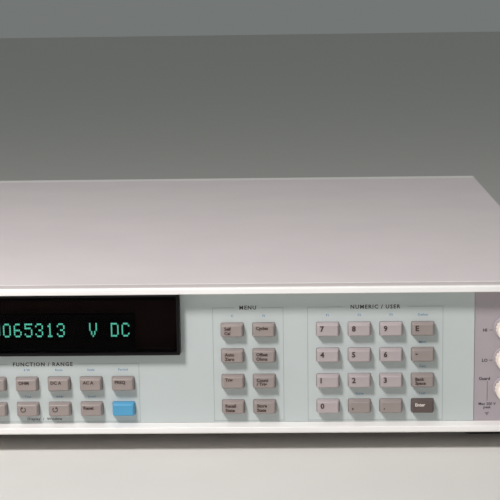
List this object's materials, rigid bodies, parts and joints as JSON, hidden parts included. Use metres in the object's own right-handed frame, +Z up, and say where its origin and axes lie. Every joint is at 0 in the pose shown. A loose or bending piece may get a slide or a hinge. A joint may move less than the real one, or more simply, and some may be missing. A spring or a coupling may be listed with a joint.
{
  "type": "bench multimeter",
  "caption": "Full-width bench multimeter: low cabinet with recessed keypad front, dark display window, binding posts, tilt stands and a rear panel with fan, inlet and jacks.",
  "frame": {"origin": "middle of the space the instrument takes, at the height of the bench", "axes": "+X to the right across the front, +Y from the front panel to the rear, +Z up"},
  "size_m": [0.4254, 0.501, 0.1001],
  "materials": {
    "frame_paint": "satin enamel on cast aluminium",
    "cover_paint": "fine textured enamel on aluminium sheet",
    "panel_paint": "matt enamel with printed legends",
    "smoked_window": "smoked acrylic",
    "plate_plastic": "moulded, matt",
    "plated_brass": "gold plated",
    "cap_plastic": "moulded, satin",
    "foot_plastic": "moulded, matt",
    "fitting_plastic": "moulded, matt",
    "fan_plastic": "moulded, matt",
    "inner_metal": "plain sheet aluminium and laminate",
    "button_plastic": "moulded, matt",
    "digit_key": "moulded, satin",
    "function_key": "moulded, satin",
    "shift_key": "moulded, satin",
    "enter_key": "moulded, satin",
    "stand_wire": "plated spring wire"
  },
  "bodies": {
    "cabinet": {"front_frame": "frame_paint", "front_panel": "panel_paint", "display_window": "smoked_window", "terminal_plate": "plate_plastic", "terminal_studs": "plated_brass", "top_cover": "cover_paint", "bottom_cover": "cover_paint", "side_rails": "cover_paint", "feet": "foot_plastic", "rear_frame": "frame_paint", "rear_fittings": "fitting_plastic", "electronics": "inner_metal"},
    "key_dc_volts": {"key_dc_volts": "function_key"},
    "key_ac_volts": {"key_ac_volts": "function_key"},
    "key_ohms": {"key_ohms": "function_key"},
    "key_dc_amps": {"key_dc_amps": "function_key"},
    "key_ac_amps": {"key_ac_amps": "function_key"},
    "key_frequency": {"key_frequency": "function_key"},
    "key_range_down": {"key_range_down": "function_key"},
    "key_range_up": {"key_range_up": "function_key"},
    "key_view_left": {"key_view_left": "function_key"},
    "key_view_right": {"key_view_right": "function_key"},
    "key_reset": {"key_reset": "function_key"},
    "key_shift": {"key_shift": "shift_key"},
    "key_calibrate": {"key_calibrate": "function_key"},
    "key_cycles": {"key_cycles": "function_key"},
    "key_auto_zero": {"key_auto_zero": "function_key"},
    "key_offset": {"key_offset": "function_key"},
    "key_trigger": {"key_trigger": "function_key"},
    "key_readings": {"key_readings": "function_key"},
    "key_recall": {"key_recall": "function_key"},
    "key_store": {"key_store": "function_key"},
    "key_7": {"key_7": "digit_key"},
    "key_8": {"key_8": "digit_key"},
    "key_9": {"key_9": "digit_key"},
    "key_exponent": {"key_exponent": "function_key"},
    "key_4": {"key_4": "digit_key"},
    "key_5": {"key_5": "digit_key"},
    "key_6": {"key_6": "digit_key"},
    "key_minus": {"key_minus": "function_key"},
    "key_1": {"key_1": "digit_key"},
    "key_2": {"key_2": "digit_key"},
    "key_3": {"key_3": "digit_key"},
    "key_backspace": {"key_backspace": "function_key"},
    "key_0": {"key_0": "digit_key"},
    "key_comma": {"key_comma": "function_key"},
    "key_point": {"key_point": "function_key"},
    "key_enter": {"key_enter": "enter_key"},
    "power_button": {"power_button": "button_plastic"},
    "guard_button": {"guard_button": "button_plastic"},
    "terminals_button": {"terminals_button": "button_plastic"},
    "cap_sense_high": {"cap_sense_high": "cap_plastic"},
    "cap_input_high": {"cap_input_high": "cap_plastic"},
    "cap_sense_low": {"cap_sense_low": "cap_plastic"},
    "cap_input_low": {"cap_input_low": "cap_plastic"},
    "cap_guard": {"cap_guard": "cap_plastic"},
    "cap_current": {"cap_current": "cap_plastic"},
    "tilt_stand_left": {"tilt_stand_left": "stand_wire"},
    "tilt_stand_right": {"tilt_stand_right": "stand_wire"},
    "fan_rotor": {"fan_rotor": "fan_plastic"}
  },
  "joints": [
    {"name": "key_dc_volts_press", "type": "slide", "parent": "cabinet", "child": "key_dc_volts", "axis": [0, 1, 0], "range_m": [0, 0.0012], "stiffness_N_per_m": 400, "springref_m": -0.0005},
    {"name": "key_ac_volts_press", "type": "slide", "parent": "cabinet", "child": "key_ac_volts", "axis": [0, 1, 0], "range_m": [0, 0.0012], "stiffness_N_per_m": 400, "springref_m": -0.0005},
    {"name": "key_ohms_press", "type": "slide", "parent": "cabinet", "child": "key_ohms", "axis": [0, 1, 0], "range_m": [0, 0.0012], "stiffness_N_per_m": 400, "springref_m": -0.0005},
    {"name": "key_dc_amps_press", "type": "slide", "parent": "cabinet", "child": "key_dc_amps", "axis": [0, 1, 0], "range_m": [0, 0.0012], "stiffness_N_per_m": 400, "springref_m": -0.0005},
    {"name": "key_ac_amps_press", "type": "slide", "parent": "cabinet", "child": "key_ac_amps", "axis": [0, 1, 0], "range_m": [0, 0.0012], "stiffness_N_per_m": 400, "springref_m": -0.0005},
    {"name": "key_frequency_press", "type": "slide", "parent": "cabinet", "child": "key_frequency", "axis": [0, 1, 0], "range_m": [0, 0.0012], "stiffness_N_per_m": 400, "springref_m": -0.0005},
    {"name": "key_range_down_press", "type": "slide", "parent": "cabinet", "child": "key_range_down", "axis": [0, 1, 0], "range_m": [0, 0.0012], "stiffness_N_per_m": 400, "springref_m": -0.0005},
    {"name": "key_range_up_press", "type": "slide", "parent": "cabinet", "child": "key_range_up", "axis": [0, 1, 0], "range_m": [0, 0.0012], "stiffness_N_per_m": 400, "springref_m": -0.0005},
    {"name": "key_view_left_press", "type": "slide", "parent": "cabinet", "child": "key_view_left", "axis": [0, 1, 0], "range_m": [0, 0.0012], "stiffness_N_per_m": 400, "springref_m": -0.0005},
    {"name": "key_view_right_press", "type": "slide", "parent": "cabinet", "child": "key_view_right", "axis": [0, 1, 0], "range_m": [0, 0.0012], "stiffness_N_per_m": 400, "springref_m": -0.0005},
    {"name": "key_reset_press", "type": "slide", "parent": "cabinet", "child": "key_reset", "axis": [0, 1, 0], "range_m": [0, 0.0012], "stiffness_N_per_m": 400, "springref_m": -0.0005},
    {"name": "key_shift_press", "type": "slide", "parent": "cabinet", "child": "key_shift", "axis": [0, 1, 0], "range_m": [0, 0.0012], "stiffness_N_per_m": 400, "springref_m": -0.0005},
    {"name": "key_calibrate_press", "type": "slide", "parent": "cabinet", "child": "key_calibrate", "axis": [0, 1, 0], "range_m": [0, 0.0012], "stiffness_N_per_m": 400, "springref_m": -0.0005},
    {"name": "key_cycles_press", "type": "slide", "parent": "cabinet", "child": "key_cycles", "axis": [0, 1, 0], "range_m": [0, 0.0012], "stiffness_N_per_m": 400, "springref_m": -0.0005},
    {"name": "key_auto_zero_press", "type": "slide", "parent": "cabinet", "child": "key_auto_zero", "axis": [0, 1, 0], "range_m": [0, 0.0012], "stiffness_N_per_m": 400, "springref_m": -0.0005},
    {"name": "key_offset_press", "type": "slide", "parent": "cabinet", "child": "key_offset", "axis": [0, 1, 0], "range_m": [0, 0.0012], "stiffness_N_per_m": 400, "springref_m": -0.0005},
    {"name": "key_trigger_press", "type": "slide", "parent": "cabinet", "child": "key_trigger", "axis": [0, 1, 0], "range_m": [0, 0.0012], "stiffness_N_per_m": 400, "springref_m": -0.0005},
    {"name": "key_readings_press", "type": "slide", "parent": "cabinet", "child": "key_readings", "axis": [0, 1, 0], "range_m": [0, 0.0012], "stiffness_N_per_m": 400, "springref_m": -0.0005},
    {"name": "key_recall_press", "type": "slide", "parent": "cabinet", "child": "key_recall", "axis": [0, 1, 0], "range_m": [0, 0.0012], "stiffness_N_per_m": 400, "springref_m": -0.0005},
    {"name": "key_store_press", "type": "slide", "parent": "cabinet", "child": "key_store", "axis": [0, 1, 0], "range_m": [0, 0.0012], "stiffness_N_per_m": 400, "springref_m": -0.0005},
    {"name": "key_7_press", "type": "slide", "parent": "cabinet", "child": "key_7", "axis": [0, 1, 0], "range_m": [0, 0.0012], "stiffness_N_per_m": 400, "springref_m": -0.0005},
    {"name": "key_8_press", "type": "slide", "parent": "cabinet", "child": "key_8", "axis": [0, 1, 0], "range_m": [0, 0.0012], "stiffness_N_per_m": 400, "springref_m": -0.0005},
    {"name": "key_9_press", "type": "slide", "parent": "cabinet", "child": "key_9", "axis": [0, 1, 0], "range_m": [0, 0.0012], "stiffness_N_per_m": 400, "springref_m": -0.0005},
    {"name": "key_exponent_press", "type": "slide", "parent": "cabinet", "child": "key_exponent", "axis": [0, 1, 0], "range_m": [0, 0.0012], "stiffness_N_per_m": 400, "springref_m": -0.0005},
    {"name": "key_4_press", "type": "slide", "parent": "cabinet", "child": "key_4", "axis": [0, 1, 0], "range_m": [0, 0.0012], "stiffness_N_per_m": 400, "springref_m": -0.0005},
    {"name": "key_5_press", "type": "slide", "parent": "cabinet", "child": "key_5", "axis": [0, 1, 0], "range_m": [0, 0.0012], "stiffness_N_per_m": 400, "springref_m": -0.0005},
    {"name": "key_6_press", "type": "slide", "parent": "cabinet", "child": "key_6", "axis": [0, 1, 0], "range_m": [0, 0.0012], "stiffness_N_per_m": 400, "springref_m": -0.0005},
    {"name": "key_minus_press", "type": "slide", "parent": "cabinet", "child": "key_minus", "axis": [0, 1, 0], "range_m": [0, 0.0012], "stiffness_N_per_m": 400, "springref_m": -0.0005},
    {"name": "key_1_press", "type": "slide", "parent": "cabinet", "child": "key_1", "axis": [0, 1, 0], "range_m": [0, 0.0012], "stiffness_N_per_m": 400, "springref_m": -0.0005},
    {"name": "key_2_press", "type": "slide", "parent": "cabinet", "child": "key_2", "axis": [0, 1, 0], "range_m": [0, 0.0012], "stiffness_N_per_m": 400, "springref_m": -0.0005},
    {"name": "key_3_press", "type": "slide", "parent": "cabinet", "child": "key_3", "axis": [0, 1, 0], "range_m": [0, 0.0012], "stiffness_N_per_m": 400, "springref_m": -0.0005},
    {"name": "key_backspace_press", "type": "slide", "parent": "cabinet", "child": "key_backspace", "axis": [0, 1, 0], "range_m": [0, 0.0012], "stiffness_N_per_m": 400, "springref_m": -0.0005},
    {"name": "key_0_press", "type": "slide", "parent": "cabinet", "child": "key_0", "axis": [0, 1, 0], "range_m": [0, 0.0012], "stiffness_N_per_m": 400, "springref_m": -0.0005},
    {"name": "key_comma_press", "type": "slide", "parent": "cabinet", "child": "key_comma", "axis": [0, 1, 0], "range_m": [0, 0.0012], "stiffness_N_per_m": 400, "springref_m": -0.0005},
    {"name": "key_point_press", "type": "slide", "parent": "cabinet", "child": "key_point", "axis": [0, 1, 0], "range_m": [0, 0.0012], "stiffness_N_per_m": 400, "springref_m": -0.0005},
    {"name": "key_enter_press", "type": "slide", "parent": "cabinet", "child": "key_enter", "axis": [0, 1, 0], "range_m": [0, 0.0012], "stiffness_N_per_m": 400, "springref_m": -0.0005},
    {"name": "power_button_press", "type": "slide", "parent": "cabinet", "child": "power_button", "axis": [0, 1, 0], "range_m": [0, 0.003], "stiffness_N_per_m": 500, "springref_m": -0.0005},
    {"name": "guard_button_press", "type": "slide", "parent": "cabinet", "child": "guard_button", "axis": [0, 1, 0], "range_m": [0, 0.0025], "stiffness_N_per_m": 500, "springref_m": -0.0005},
    {"name": "terminals_button_press", "type": "slide", "parent": "cabinet", "child": "terminals_button", "axis": [0, 1, 0], "range_m": [0, 0.0025], "stiffness_N_per_m": 500, "springref_m": -0.0005},
    {"name": "cap_sense_high_unscrew", "type": "slide", "parent": "cabinet", "child": "cap_sense_high", "axis": [0, -1, 0], "range_m": [0, 0.004]},
    {"name": "cap_input_high_unscrew", "type": "slide", "parent": "cabinet", "child": "cap_input_high", "axis": [0, -1, 0], "range_m": [0, 0.004]},
    {"name": "cap_sense_low_unscrew", "type": "slide", "parent": "cabinet", "child": "cap_sense_low", "axis": [0, -1, 0], "range_m": [0, 0.004]},
    {"name": "cap_input_low_unscrew", "type": "slide", "parent": "cabinet", "child": "cap_input_low", "axis": [0, -1, 0], "range_m": [0, 0.004]},
    {"name": "cap_guard_unscrew", "type": "slide", "parent": "cabinet", "child": "cap_guard", "axis": [0, -1, 0], "range_m": [0, 0.004]},
    {"name": "cap_current_unscrew", "type": "slide", "parent": "cabinet", "child": "cap_current", "axis": [0, -1, 0], "range_m": [0, 0.004]},
    {"name": "tilt_stand_left_swing", "type": "hinge", "parent": "cabinet", "child": "tilt_stand_left", "pos_m": [-0.1677, -0.2035, 0.0065], "axis": [-1, 0, 0], "range_deg": [0, 100]},
    {"name": "tilt_stand_right_swing", "type": "hinge", "parent": "cabinet", "child": "tilt_stand_right", "pos_m": [0.1677, -0.2035, 0.0065], "axis": [-1, 0, 0], "range_deg": [0, 100]},
    {"name": "fan_spin", "type": "hinge", "parent": "cabinet", "child": "fan_rotor", "pos_m": [-0.13, 0.2057, 0.05605], "axis": [0, 1, 0], "continuous": true}
  ]
}
